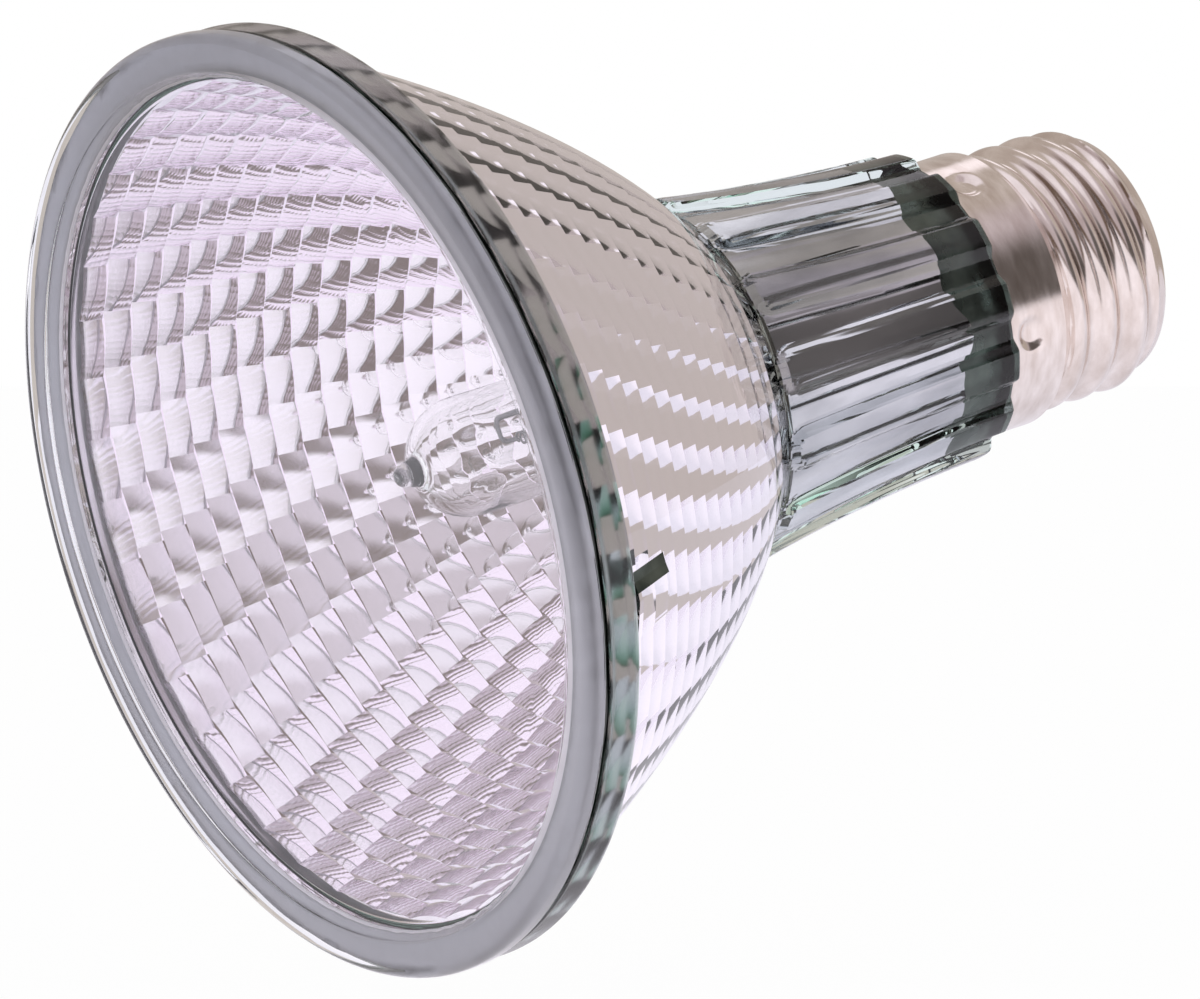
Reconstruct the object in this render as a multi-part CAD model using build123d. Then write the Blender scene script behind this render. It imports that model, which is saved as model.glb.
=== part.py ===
from build123d import *
import os
from math import asin, cos, pi, radians, sin, sqrt

# Halogen reflector lamp with a 27 mm screw cap, in millimetres.
# The axis is Z: the lens faces up, the cap is below, and the solder tip of the cap is at the origin.
# The camera side of the lamp is -Y, and angles are counted from +X towards +Y.

# Front lens: pressed glass with a flat rim band and a recessed window
rim_diameter = 95.0
rim_edge_round = 1.1
lens_rim_height = 2.4
rim_band = 3.9
window_recess = 1.4
window_draft = 0.4
window_thickness = 3.2
lens_clearance = 0.3

# Joint between the lens and the reflector
seal_thickness = 0.6
seal_inset = 0.5

# Reflector: flange, paraboloid bowl, shoulder, ribbed neck and tail, pressed in one piece of glass
flange_inset = 0.3
flange_height = 4.0
flange_edge_round = 1.2
mouth_wall = 4.0
lens_back_gap = 0.6
bowl_ledge = 2.6
bowl_depth = 36.2
bowl_wall = 2.9
shoulder_radius = 20.3
shoulder_round = 0.86
neck_height = 32.0
neck_top_radius = 18.9
neck_bottom_radius = 15.7
neck_hollow = 0.5
throat_drop = 1.0
throat_depth = 3.0
throat_radius = 13.0
tail_bore_radius = 11.0
tail_clearance = 0.25
tail_end_gap = 1.5

# Mirror facets inside the bowl: rings of flat facets, each ring turned a little against the last
facet_count = 42
facet_rings = 17
facet_ledge = 0.2
facet_ring_turn = -1.33
facet_start_angle = -90.5

# Ribs on the outside of the neck
rib_count = 14
rib_width = 3.8
rib_height = 0.9
rib_end_round = 1.6
rib_start_angle = -96.0

# Wedge mark moulded on the outside of the bowl
mark_drop = 4.4
mark_length = 6.6
mark_width = 4.4
mark_slope = 2.4
mark_height = 0.9
mark_angle = -117.0

# Screw cap: rolled sheet shell, black glass insulator, end contact and solder
sheet = 0.35
skirt_radius = 13.9
skirt_height = 6.52
skirt_cone_height = 1.9
cap_gap = 0.2
thread_radius = 13.2
thread_depth = 1.095
thread_pitch = 3.629
thread_turns = 3
shell_curl = 1.2
shell_hole_radius = 9.6
dent_count = 5
dent_radius = 1.3
dent_depth = 0.5
dent_drop = 2.6
dent_angle = -114.0
insulator_nose_height = 2.0
insulator_nose_radius = 5.8
insulator_height = 3.2
insulator_bore_radius = 1.5
insulator_clearance = 0.05
contact_radius = 4.9
contact_thickness = 0.6
contact_hole_radius = 0.9
solder_radius = 2.8
solder_height = 0.5

# Halogen capsule on the axis
capsule_radius = 6.0
capsule_wall = 0.9
capsule_length = 30.0
capsule_tip_gap = 8.4
capsule_tip_radius = 1.5
capsule_tip_height = 2.5
pinch_height = 13.0
pinch_width = 11.4
pinch_thickness = 3.4
pinch_shoulder = 2.0
filament_radius = 0.9
filament_length = 14.0
filament_rise = 4.0
lead_radius = 0.3
lead_spread = 2.6
lead_bend = 0.9
foil_width = 2.2
foil_thickness = 0.1
foil_length = 7.0
foil_rise = 3.0
pin_radius = 0.4
pin_length = 4.5

# Spring cup that holds the capsule's pinch in the neck
clip_sheet = 0.5
clip_height = 6.0
clip_rise = 3.5
clip_clearance = 0.12
clip_slot_clearance = 0.15

# Wires from the capsule's pins to the cap
wire_radius = 0.35
wire_bend = 1.6
wire_turn_gap = 2.6
wire_weld_gap = 0.15
shell_wire_fall = 4.0
contact_wire_fall = 6.0

# Levels along the axis, from the solder tip up
contact_top = solder_height + contact_thickness
shell_end = contact_top + insulator_nose_height
thread_bottom = shell_end + shell_curl
thread_top = thread_bottom + thread_turns * thread_pitch
skirt_bottom = thread_top + skirt_cone_height
skirt_top = skirt_bottom + skirt_height
tail_bottom = skirt_bottom + tail_end_gap
neck_bottom = skirt_top + cap_gap
shoulder_level = neck_bottom + neck_height
flange_bottom = shoulder_level + bowl_depth
flange_top = flange_bottom + flange_height
seal_top = flange_top + seal_thickness
front_level = seal_top + lens_rim_height
lens_back = front_level - window_recess - window_thickness
facet_top = lens_back - lens_back_gap
throat_top = shoulder_level - throat_drop
capsule_top = lens_back - capsule_tip_gap - capsule_tip_height
pinch_top = capsule_top - capsule_length
pinch_bottom = pinch_top - pinch_height
pin_end = pinch_bottom - pin_length

# Radii that follow from the rim and the cap
rim_radius = rim_diameter / 2
window_radius = rim_radius - rim_band
flange_radius = rim_radius - flange_inset
mouth_radius = flange_radius - mouth_wall
bowl_mouth_radius = flange_radius - bowl_ledge
skirt_bore_radius = skirt_radius - sheet
tail_radius = skirt_bore_radius - tail_clearance
thread_root_radius = thread_radius - thread_depth
neck_base_radius = neck_top_radius - rib_height

# The bowl is a paraboloid, whose radius squared grows evenly with the level.
bowl_square_rise = (bowl_mouth_radius**2 - shoulder_radius**2) / bowl_depth
shoulder_slope = bowl_square_rise / (2 * shoulder_radius)
shoulder_corner = shoulder_level - (shoulder_radius - neck_base_radius) / shoulder_slope
neck_top = shoulder_corner - shoulder_round


def at(radius, level):
    """A point of a turned outline: distance from the axis, and level along it."""
    return Vector(radius, 0, level)


def turned(*edges):
    """The solid that a closed outline sweeps round the axis."""
    return revolve(make_face(Curve() + list(edges)), Axis.Z)


def turned_corners(*corners):
    """The same for an outline of straight edges."""
    return turned(Polyline(*[at(*corner) for corner in corners], close=True))


def corner_arc(start, end, centre):
    """A round corner from start to end about a centre."""
    across = (start + end) / 2 - centre
    return ThreePointArc(start, centre + across.normalized() * (start - centre).length, end)


def upright_box(width, depth, height, bottom, across=0):
    """A block standing on a level, width along X, placed across the axis."""
    block = Box(width, depth, height, align=(Align.CENTER, Align.CENTER, Align.MIN))
    return Pos(across, 0, bottom) * block


def upright_rod(radius, bottom, top, across=0):
    """A round rod between two levels."""
    rod = Cylinder(radius, top - bottom, align=(Align.CENTER, Align.CENTER, Align.MIN))
    return Pos(across, 0, bottom) * rod


def wire_along(radius, bend, *points):
    """A round wire along straight runs with rounded bends."""
    path = FilletPolyline(*points, radius=bend)
    section = Plane(origin=path @ 0, z_dir=path % 0) * Circle(radius)
    return sweep(section, path=path)


def bowl_radius(level):
    """Outside of the bowl: a paraboloid through the flange and the shoulder."""
    return sqrt(shoulder_radius**2 + bowl_square_rise * (level - shoulder_level))


def bore_radius(level):
    """Bore of the neck, which narrows from the throat to the tail."""
    bore_top = throat_top - throat_depth
    share = (level - tail_bottom) / (bore_top - tail_bottom)
    return tail_bore_radius + (throat_radius - tail_bore_radius) * share


def neck_line(inset):
    """Side of the neck from the shoulder down, hollowed by a shallow arc and set in by inset."""
    top = at(neck_top_radius - inset, neck_top)
    bottom = at(neck_bottom_radius - inset, neck_bottom)
    middle = (top + bottom) / 2 - at(neck_hollow, 0)
    return ThreePointArc(top, middle, bottom)


def front_lens():
    rim = Polyline(
        at(0, front_level - window_recess),
        at(window_radius - window_draft, front_level - window_recess),
        at(window_radius, front_level),
        at(rim_radius - rim_edge_round, front_level),
    )
    edge = corner_arc(
        rim @ 1,
        at(rim_radius, front_level - rim_edge_round),
        at(rim_radius - rim_edge_round, front_level - rim_edge_round),
    )
    spigot_radius = mouth_radius - lens_clearance
    back = Polyline(
        edge @ 1,
        at(rim_radius, seal_top),
        at(spigot_radius, seal_top),
        at(spigot_radius, lens_back),
        at(0, lens_back),
        rim @ 0,
    )
    return turned(rim, edge, back)


def lens_seal():
    outside = rim_radius - seal_inset
    return turned_corners(
        (mouth_radius, flange_top), (outside, flange_top), (outside, seal_top), (mouth_radius, seal_top)
    )


def glass_blank():
    """Outside of the reflector, still full inside."""
    flange = Polyline(
        at(0, flange_top),
        at(flange_radius, flange_top),
        at(flange_radius, flange_bottom + flange_edge_round),
    )
    flange_edge = corner_arc(
        flange @ 1,
        at(flange_radius - flange_edge_round, flange_bottom),
        at(flange_radius - flange_edge_round, flange_bottom + flange_edge_round),
    )
    under_flange = Line(flange_edge @ 1, at(bowl_mouth_radius, flange_bottom))
    # A parabola is a curve of three poles, the middle one where its end tangents meet.
    middle_square = bowl_mouth_radius * shoulder_radius - shoulder_radius**2
    bowl = Bezier(
        at(bowl_mouth_radius, flange_bottom),
        at((bowl_mouth_radius + shoulder_radius) / 2, shoulder_level + middle_square / bowl_square_rise),
        at(shoulder_radius, shoulder_level),
    )
    neck = neck_line(rib_height)
    shoulder = Bezier(bowl @ 1, at(neck_base_radius, shoulder_corner), neck @ 0)
    groove_top = skirt_top - dent_drop + dent_radius + tail_clearance
    groove_bottom = skirt_top - dent_drop - dent_radius - tail_clearance
    groove_radius = tail_radius - dent_depth
    tail = Polyline(
        neck @ 1,
        at(tail_radius, neck_bottom),
        at(tail_radius, groove_top),
        at(groove_radius, groove_top),
        at(groove_radius, groove_bottom),
        at(tail_radius, groove_bottom),
        at(tail_radius, tail_bottom),
        at(0, tail_bottom),
        at(0, flange_top),
    )
    return turned(flange, flange_edge, under_flange, bowl, shoulder, neck, tail)


def neck_ribs():
    """Raised ribs with rounded upper ends, cut from the neck's envelope."""
    neck = neck_line(0)
    envelope = turned(
        neck,
        Polyline(neck @ 1, at(tail_radius, neck_bottom), at(tail_radius, (neck @ 0).Z), neck @ 0),
    )
    rib_length = neck_top - neck_bottom
    outline = Rectangle(rib_width, rib_length)
    outline = fillet(outline.vertices().group_by(Axis.Y)[-1], rib_end_round)
    reach = neck_top_radius - tail_radius + rib_height
    bars = []
    for number in range(rib_count):
        angle = rib_start_angle + 360 * number / rib_count
        side = Plane(
            origin=(tail_radius, 0, neck_bottom + rib_length / 2), x_dir=(0, 1, 0), z_dir=(1, 0, 0)
        )
        bars.append(Rot(0, 0, angle) * extrude(side * outline, reach))
    return [envelope & bar for bar in bars]


def mirror_facets():
    """The hollow of the bowl: a stack of many-sided tapers with a small ledge at each ring."""
    ring_height = (facet_top - throat_top) / facet_rings
    stack = []
    for ring in range(facet_rings):
        top = facet_top - ring * ring_height
        bottom = top - ring_height
        turn = facet_start_angle + ring * facet_ring_turn
        wide = RegularPolygon(bowl_radius(top) - bowl_wall - facet_ledge, facet_count, rotation=turn)
        narrow = RegularPolygon(bowl_radius(bottom) - bowl_wall, facet_count, rotation=turn)
        stack.append(loft([Pos(0, 0, bottom) * narrow, Pos(0, 0, top) * wide], ruled=True))
    return stack


def bore():
    """Mouth for the lens above the facets, and the throat and bore below them."""
    mouth = turned_corners(
        (0, facet_top), (mouth_radius, facet_top), (mouth_radius, flange_top), (0, flange_top)
    )
    throat_mouth = (bowl_radius(throat_top) - bowl_wall) * cos(pi / facet_count) - facet_ledge
    throat = turned_corners(
        (0, throat_top),
        (throat_mouth, throat_top),
        (throat_radius, throat_top - throat_depth),
        (tail_bore_radius, tail_bottom),
        (0, tail_bottom),
    )
    return [mouth, throat]


def bowl_mark():
    """Moulded wedge on the outside of the bowl: a pad that rises to a ridge and falls in a steep slope."""
    level = flange_bottom - mark_drop
    radius = bowl_radius(level)
    slope = bowl_square_rise / (2 * radius)
    rooted = bowl_wall / 2
    outline = make_face(
        Polyline(
            (mark_width / 2, -rooted),
            (mark_width / 2, mark_height / 5),
            (-mark_width / 2, mark_height),
            (-mark_width / 2 - mark_slope, -mark_height / 2),
            (-mark_width / 2 - mark_slope, -rooted),
            close=True,
        )
    )
    across = Plane(origin=(radius, 0, level), x_dir=(0, -1, 0), z_dir=(slope, 0, 1))
    return Rot(0, 0, mark_angle) * extrude(across * outline, mark_length / 2, both=True)


def reflector():
    glass = glass_blank() + neck_ribs() + bowl_mark()
    return glass - mirror_facets() - bore()


def rolled_wave(inset):
    """Outline of the rolled ridges from the lowest root to the highest, in equal arcs, set in by inset."""
    round_radius = (thread_depth**2 + thread_pitch**2 / 4) / (4 * thread_depth)
    root = thread_root_radius - inset
    crest = thread_radius - inset
    middle = (root + crest) / 2
    quarter = thread_pitch / 4
    half_angle = asin(quarter / round_radius) / 2
    hollow_rise = round_radius * sin(half_angle)
    hollow_radius = root + round_radius * (1 - cos(half_angle))
    first = [
        at(root, thread_bottom),
        at(hollow_radius, thread_bottom + hollow_rise),
        at(middle, thread_bottom + quarter),
    ]
    last = [
        at(middle, thread_top - quarter),
        at(hollow_radius, thread_top - hollow_rise),
        at(root, thread_top),
    ]
    edges = [ThreePointArc(*first), ThreePointArc(*last)]
    for ridge in range(thread_turns):
        low = thread_bottom + ridge * thread_pitch + quarter
        top = low + 2 * quarter
        edges.append(ThreePointArc(at(middle, low), at(crest, low + quarter), at(middle, top)))
        if ridge < thread_turns - 1:
            edges.append(ThreePointArc(at(middle, top), at(root, top + quarter), at(middle, top + 2 * quarter)))
    return edges


def shell_body(inset):
    """Screw shell filled solid and set in by inset: curled end, rolled ridges, cone and skirt."""
    side = thread_root_radius - inset
    curl_start = at(thread_root_radius - shell_curl, shell_end + inset)
    curl = corner_arc(curl_start, at(side, thread_bottom), at(curl_start.X, thread_bottom))
    rest = Polyline(
        at(side, thread_top),
        at(skirt_radius - inset, skirt_bottom),
        at(skirt_radius - inset, skirt_top),
        at(0, skirt_top),
        at(0, curl_start.Z),
        curl_start,
    )
    return turned(curl, *rolled_wave(inset), rest)


def dent_parts():
    """Punched stake dents: the bosses pushed inwards, and the round hollows outside."""
    level = skirt_top - dent_drop
    inner = skirt_radius - dent_depth - sheet / 2
    boss = Cylinder(
        dent_radius, skirt_radius - inner - sheet / 2, align=(Align.CENTER, Align.CENTER, Align.MIN)
    )
    ball_radius = (dent_radius**2 + dent_depth**2) / (2 * dent_depth)
    hollow = Pos(0, 0, skirt_radius - inner - dent_depth + ball_radius) * Sphere(ball_radius)
    place = Plane(origin=(inner, 0, level), x_dir=(0, 1, 0), z_dir=(1, 0, 0))
    turns = [dent_angle + 360 * number / dent_count for number in range(dent_count)]
    bosses = [Rot(0, 0, turn) * (place * boss) for turn in turns]
    hollows = [Rot(0, 0, turn) * (place * hollow) for turn in turns]
    return bosses, hollows


def cap_shell():
    bosses, hollows = dent_parts()
    end_hole = upright_rod(shell_hole_radius, shell_end - sheet, shell_end + 2 * sheet)
    return shell_body(0) - shell_body(sheet) - end_hole + bosses - hollows


def cap_insulator():
    waist = shell_hole_radius - insulator_clearance
    seat = thread_root_radius - shell_curl
    seat_level = shell_end + sheet
    top = shell_end + insulator_height
    return turned_corners(
        (insulator_bore_radius, contact_top),
        (insulator_nose_radius, contact_top),
        (waist, shell_end),
        (waist, seat_level),
        (seat, seat_level),
        (seat, top),
        (insulator_bore_radius, top),
    )


def centre_contact():
    return turned_corners(
        (contact_hole_radius, solder_height),
        (contact_radius, solder_height),
        (contact_radius, contact_top),
        (contact_hole_radius, contact_top),
    )


def contact_solder():
    """A low dome under the contact, with a stem that fills the contact's hole."""
    ball_radius = (solder_radius**2 + solder_height**2) / (2 * solder_height)
    middle_rise = ball_radius - sqrt(ball_radius**2 - solder_radius**2 / 4)
    dome = ThreePointArc(at(0, 0), at(solder_radius / 2, middle_rise), at(solder_radius, solder_height))
    stem = Polyline(
        dome @ 1,
        at(contact_hole_radius, solder_height),
        at(contact_hole_radius, contact_top),
        at(0, contact_top),
        dome @ 0,
    )
    return turned(dome, stem)


foil_bottom = pinch_bottom + foil_rise
foil_top = foil_bottom + foil_length
filament_bottom = pinch_top + filament_rise
filament_top = filament_bottom + filament_length


def foil(across):
    return upright_box(foil_width, foil_thickness, foil_length, foil_bottom, across)


def pin(across):
    return upright_rod(pin_radius, pin_end, foil_bottom, across)


def lower_lead():
    """Leg from the left foil to the lower end of the filament."""
    turn_level = filament_bottom - 2 * lead_bend
    return wire_along(
        lead_radius,
        lead_bend,
        (-lead_spread, 0, foil_top),
        (-lead_spread, 0, turn_level),
        (0, 0, turn_level),
        (0, 0, filament_bottom),
    )


def upper_lead():
    """Leg from the right foil, up beside the filament and over to its upper end."""
    turn_level = filament_top + 2 * lead_bend
    return wire_along(
        lead_radius,
        lead_bend,
        (lead_spread, 0, foil_top),
        (lead_spread, 0, turn_level),
        (0, 0, turn_level),
        (0, 0, filament_top),
    )


def tube_with_dome(radius, bottom, top):
    """A round tube's space, closed by a half ball at the top."""
    spring = top - radius
    dome = ThreePointArc(
        at(radius, spring),
        at(radius * cos(radians(45)), spring + radius * sin(radians(45))),
        at(0, top),
    )
    side = Polyline(dome @ 1, at(0, bottom), at(radius, bottom), dome @ 0)
    return turned(dome, side)


def capsule_bulb():
    """Quartz tube with a sealed-off tip and a flat pinch, closed round the foils, leads and pins."""
    tube = tube_with_dome(capsule_radius, pinch_top - pinch_shoulder, capsule_top)
    tip = tube_with_dome(capsule_tip_radius, capsule_top - capsule_wall, capsule_top + capsule_tip_height)
    pinch = upright_box(pinch_width, pinch_thickness, pinch_height, pinch_bottom)
    gas = tube_with_dome(capsule_radius - capsule_wall, pinch_top, capsule_top - capsule_wall)
    seats = [foil(-lead_spread), foil(lead_spread), pin(-lead_spread), pin(lead_spread)]
    return tube + tip + pinch - gas - seats - [lower_lead(), upper_lead()]


def filament():
    return upright_rod(filament_radius, filament_bottom, filament_top)


def capsule_clip():
    """Sheet cup pressed into the neck, with a slot that grips the pinch."""
    bottom = pinch_bottom + clip_rise
    top = bottom + clip_height
    low = bore_radius(bottom) - clip_clearance
    high = bore_radius(top) - clip_clearance
    cup = turned_corners(
        (0, bottom), (low, bottom), (high, top), (high - clip_sheet, top),
        (low - clip_sheet, bottom + clip_sheet), (0, bottom + clip_sheet),
    )
    slot_width = pinch_width + 2 * clip_slot_clearance
    slot_depth = pinch_thickness + 2 * clip_slot_clearance
    return cup - upright_box(slot_width, slot_depth, 2 * clip_sheet, bottom - clip_sheet / 2)


def shell_wire():
    """From the left pin down past the tail, then out to the inside of the screw shell."""
    turn_level = tail_bottom - wire_turn_gap
    weld_radius = thread_root_radius - sheet - wire_weld_gap
    return wire_along(
        wire_radius,
        wire_bend,
        (-lead_spread, 0, pin_end),
        (-lead_spread, 0, turn_level),
        (-weld_radius, 0, turn_level - shell_wire_fall),
    )


def contact_wire():
    """From the right pin down to the axis, through the insulator to the solder."""
    turn_level = tail_bottom
    return wire_along(
        wire_radius,
        wire_bend,
        (lead_spread, 0, pin_end),
        (lead_spread, 0, turn_level),
        (0, 0, turn_level - contact_wire_fall),
        (0, 0, contact_top),
    )


nodes = {
    "front_lens": front_lens(),
    "lens_seal": lens_seal(),
    "reflector": reflector(),
    "capsule_bulb": capsule_bulb(),
    "filament": filament(),
    "inner_lead_left": lower_lead(),
    "inner_lead_right": upper_lead(),
    "foil_left": foil(-lead_spread),
    "foil_right": foil(lead_spread),
    "outer_lead_left": pin(-lead_spread),
    "outer_lead_right": pin(lead_spread),
    "capsule_clip": capsule_clip(),
    "shell_wire": shell_wire(),
    "contact_wire": contact_wire(),
    "cap_shell": cap_shell(),
    "cap_insulator": cap_insulator(),
    "centre_contact": centre_contact(),
    "contact_solder": contact_solder(),
}

os.makedirs("parts", exist_ok=True)
for name, solid in nodes.items():
    export_step(solid, f"parts/{name}.step")
    print(name, round(solid.volume, 1), "mm3")
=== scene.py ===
import math
import bpy
import numpy as np
from mathutils import Matrix


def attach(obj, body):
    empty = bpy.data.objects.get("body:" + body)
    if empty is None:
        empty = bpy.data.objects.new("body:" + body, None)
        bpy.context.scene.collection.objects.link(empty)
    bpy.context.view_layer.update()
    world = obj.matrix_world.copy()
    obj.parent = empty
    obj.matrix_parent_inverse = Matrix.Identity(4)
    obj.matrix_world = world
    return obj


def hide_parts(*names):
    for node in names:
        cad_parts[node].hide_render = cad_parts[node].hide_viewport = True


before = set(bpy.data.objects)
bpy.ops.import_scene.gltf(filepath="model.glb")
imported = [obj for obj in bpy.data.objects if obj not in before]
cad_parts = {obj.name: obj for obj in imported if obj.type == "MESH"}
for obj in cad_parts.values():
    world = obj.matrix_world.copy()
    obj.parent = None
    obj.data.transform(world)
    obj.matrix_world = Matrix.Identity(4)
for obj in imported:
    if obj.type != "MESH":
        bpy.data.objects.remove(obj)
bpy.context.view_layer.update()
mm = 0.001  # pieces are worked out in millimetres and stored in metres
hair = 0.01  # margin of the tests on heights and radii, in millimetres
print("frame:", len(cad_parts), "nodes")

# heights along the lamp's axis, from the solder tip up, as in the part's source
levels = dict(
    shellEnd=3.1, threadBottom=4.3, threadTop=15.187, skirtBottom=17.087, skirtTop=23.607,
    tailBottom=18.587, neckBottom=23.807, shoulder=55.807, flangeBottom=92.007, flangeTop=96.007,
    sealTop=96.607, front=99.007, lensBack=94.407, facetTop=93.807, throatTop=54.807,
    capsuleTop=83.507, pinchTop=53.507, pinchBottom=40.507,
)


# camera
photoCamera = dict(
    elevation=31.44,  # the axis is 58.56 degrees off the line of sight
    roll=-107.92,  # turns the lens to the lower left of the picture
    distance=3.5,
    focal=1083.2,
    sensor=36.0,
    offset=(0.02898, 0.00091),  # rim centre sits left of and just below the middle
    clip=(0.1, 30.0),
)


# unit vectors of the picture: right, up, and towards the camera
def pictureAxes(spec):
    e, r = math.radians(spec["elevation"]), math.radians(spec["roll"])
    toCamera = np.array([0.0, -math.cos(e), math.sin(e)])
    level = np.array([1.0, 0.0, 0.0])
    rise = np.array([0.0, math.sin(e), math.cos(e)])
    right = level * math.cos(r) + rise * math.sin(r)
    up = rise * math.cos(r) - level * math.sin(r)
    return right, up, toCamera


right, up, toCamera = pictureAxes(photoCamera)


def makeCamera(spec):
    data = bpy.data.cameras.new("photoCamera")
    data.sensor_fit = "HORIZONTAL"
    data.sensor_width = spec["sensor"]
    data.lens = spec["focal"]
    data.clip_start, data.clip_end = spec["clip"]
    cam = bpy.data.objects.new("photoCamera", data)
    bpy.context.scene.collection.objects.link(cam)
    place = np.array([0, 0, levels["front"] * mm]) + toCamera * spec["distance"]
    place = place + right * spec["offset"][0] + up * spec["offset"][1]
    turn = np.eye(4)
    turn[:3, :3] = np.stack([right, up, toCamera], axis=1)
    turn[:3, 3] = place
    cam.matrix_world = Matrix(turn.tolist())
    bpy.context.scene.camera = cam


makeCamera(photoCamera)
print("camera set")


# mesh helpers
# straight stretch of an outline from p towards q, without q
def run(p, q, n):
    s = np.linspace(0, 1, n, endpoint=False)[:, None]
    return np.array(p) * (1 - s) + np.array(q) * s


# round corner of an outline about a centre, angles in degrees, without the last point
def bend(centre, radius, a0, a1, n):
    a = np.radians(np.linspace(a0, a1, n, endpoint=False))
    return np.stack([centre[0] + radius * np.cos(a), centre[1] + radius * np.sin(a)], axis=1)


# even angles of the columns round a ring
def ringAngles(columns):
    return np.linspace(0, 2 * np.pi, columns, endpoint=False)


# points of rings: x = r cos a, y = r sin a
def ringPoints(r, a, z):
    return np.stack([r * np.cos(a), r * np.sin(a), z + 0 * a], axis=-1)


# an outline of radius and height turned round the axis
def turnOutline(outline, columns):
    return ringPoints(outline[:, :1], ringAngles(columns), outline[:, 1:])


# quads between neighbouring rings; rings run anticlockwise in the radius and height plane
def ringQuads(rings, columns, wrap):
    a = np.arange(rings * columns).reshape(rings, columns)
    low = a if wrap else a[:-1]
    high = np.roll(a, -1, axis=0) if wrap else a[1:]
    return np.stack([low, np.roll(low, -1, 1), np.roll(high, -1, 1), high], axis=2).reshape(-1, 4)


# one closed piece from grids of points in millimetres, with fans at the poles where a grid has them
def makePiece(name, grids, sharpAngle, materials, node):
    verts, faces, matIds, base = [], [], [], 0
    for grid in grids:
        pts = grid["points"]
        rings, columns = pts.shape[:2]
        quads = ringQuads(rings, columns, grid.get("wrap", False)) + base
        mat = np.asarray(grid.get("mat", 0))
        mat = mat if mat.ndim == 2 else mat.reshape(-1, 1)  # one for each quad, or one for each ring
        quadMat = np.broadcast_to(mat, (rings, columns))[: len(quads) // columns].reshape(-1)
        verts.append(pts.reshape(-1, 3))
        faces += quads.tolist()
        matIds.append(quadMat)
        count = rings * columns
        for pole, row in (("start", 0), ("end", rings - 1)):  # poles close the first and the last ring
            if pole in grid:
                rim = base + row * columns + np.arange(columns)
                edge = (np.roll(rim, -1), rim) if pole == "start" else (rim, np.roll(rim, -1))
                verts.append(np.array([grid[pole]], float))
                faces += np.stack([np.full(columns, base + count), *edge], axis=1).tolist()
                matIds.append(np.full(columns, quadMat[0 if pole == "start" else -1]))
                count += 1
        base += count
    mesh = bpy.data.meshes.new(name)
    mesh.from_pydata((np.concatenate(verts) * mm).tolist(), [], faces)
    mesh.polygons.foreach_set("use_smooth", np.ones(len(faces), bool))
    mesh.polygons.foreach_set("material_index", np.concatenate(matIds).astype(np.int32))
    for mat in materials:
        mesh.materials.append(mat)
    mesh.update()
    mesh.set_sharp_from_angle(angle=math.radians(sharpAngle))
    piece = bpy.data.objects.new(name, mesh)
    bpy.context.scene.collection.objects.link(piece)
    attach(piece, "root")
    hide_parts(node)
    print("piece:", name, len(faces), "faces")


# tube of radius r along a path of points that nowhere runs straight up: rings of a circle set square to the path
def tubeGrid(path, r, sides):
    along = np.gradient(path, axis=0)
    along = along / np.linalg.norm(along, axis=1, keepdims=True)
    side = np.cross(along, np.array([0.0, 0.0, 1.0]))
    side = side / np.linalg.norm(side, axis=1, keepdims=True)
    over = np.cross(side, along)
    a = ringAngles(sides)[None, :, None]
    return path[:, None] + r * (np.cos(a) * over[:, None] + np.sin(a) * side[:, None])


def smoothStep(x):
    x = np.clip(x, 0, 1)
    return x * x * (3 - 2 * x)


# slow wander round the ring: the mean of waves with fixed phases, raised to about -1 to 1
wanderSpec = dict(count=9, gain=2.2)


def wander(a, waves, seed):
    rng = np.random.default_rng(seed)
    k = rng.integers(waves[0], waves[1], wanderSpec["count"])
    ph = rng.uniform(0, 2 * np.pi, wanderSpec["count"])
    return np.sin(a[..., None] * k + ph).mean(axis=-1) * wanderSpec["gain"]


# materials
def nodeMaker(tree):
    def add(kind, **values):
        n = tree.nodes.new(kind)
        for key, value in values.items():
            setattr(n, key, value)
        return n
    return add


# node tree of a material or a world, with nothing in it
def emptyTree(owner):
    owner.use_nodes = True
    owner.node_tree.nodes.clear()
    return owner.node_tree


grainSpec = dict(
    fineDetail=2.0, coarseDetail=4.0, fineShare=0.35, toneRange=(0.3, 0.72), roughRange=(0.3, 0.75),
    bumpDepth=0.00005,
)


# shared grain: two noises of one vector, as a height and a mask
def makeGrainGroup(s):
    g = bpy.data.node_groups.new("surfaceGrain", "ShaderNodeTree")
    g.interface.new_socket("Vector", in_out="INPUT", socket_type="NodeSocketVector")
    g.interface.new_socket("Fine", in_out="INPUT", socket_type="NodeSocketFloat")
    g.interface.new_socket("Coarse", in_out="INPUT", socket_type="NodeSocketFloat")
    g.interface.new_socket("Height", in_out="OUTPUT", socket_type="NodeSocketFloat")
    g.interface.new_socket("Mask", in_out="OUTPUT", socket_type="NodeSocketFloat")
    add, link = nodeMaker(g), g.links.new
    gin, gout = add("NodeGroupInput"), add("NodeGroupOutput")
    fine = add("ShaderNodeTexNoise")
    coarse = add("ShaderNodeTexNoise")
    fine.inputs["Detail"].default_value = s["fineDetail"]
    coarse.inputs["Detail"].default_value = s["coarseDetail"]
    mixed = add("ShaderNodeMath", operation="MULTIPLY_ADD")
    mixed.inputs[1].default_value = s["fineShare"]
    link(gin.outputs["Vector"], fine.inputs["Vector"])
    link(gin.outputs["Vector"], coarse.inputs["Vector"])
    link(gin.outputs["Fine"], fine.inputs["Scale"])
    link(gin.outputs["Coarse"], coarse.inputs["Scale"])
    link(fine.outputs["Fac"], mixed.inputs[0])
    link(coarse.outputs["Fac"], mixed.inputs[2])
    link(mixed.outputs[0], gout.inputs["Height"])
    link(coarse.outputs["Fac"], gout.inputs["Mask"])
    return g


grainGroup = makeGrainGroup(grainSpec)


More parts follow.
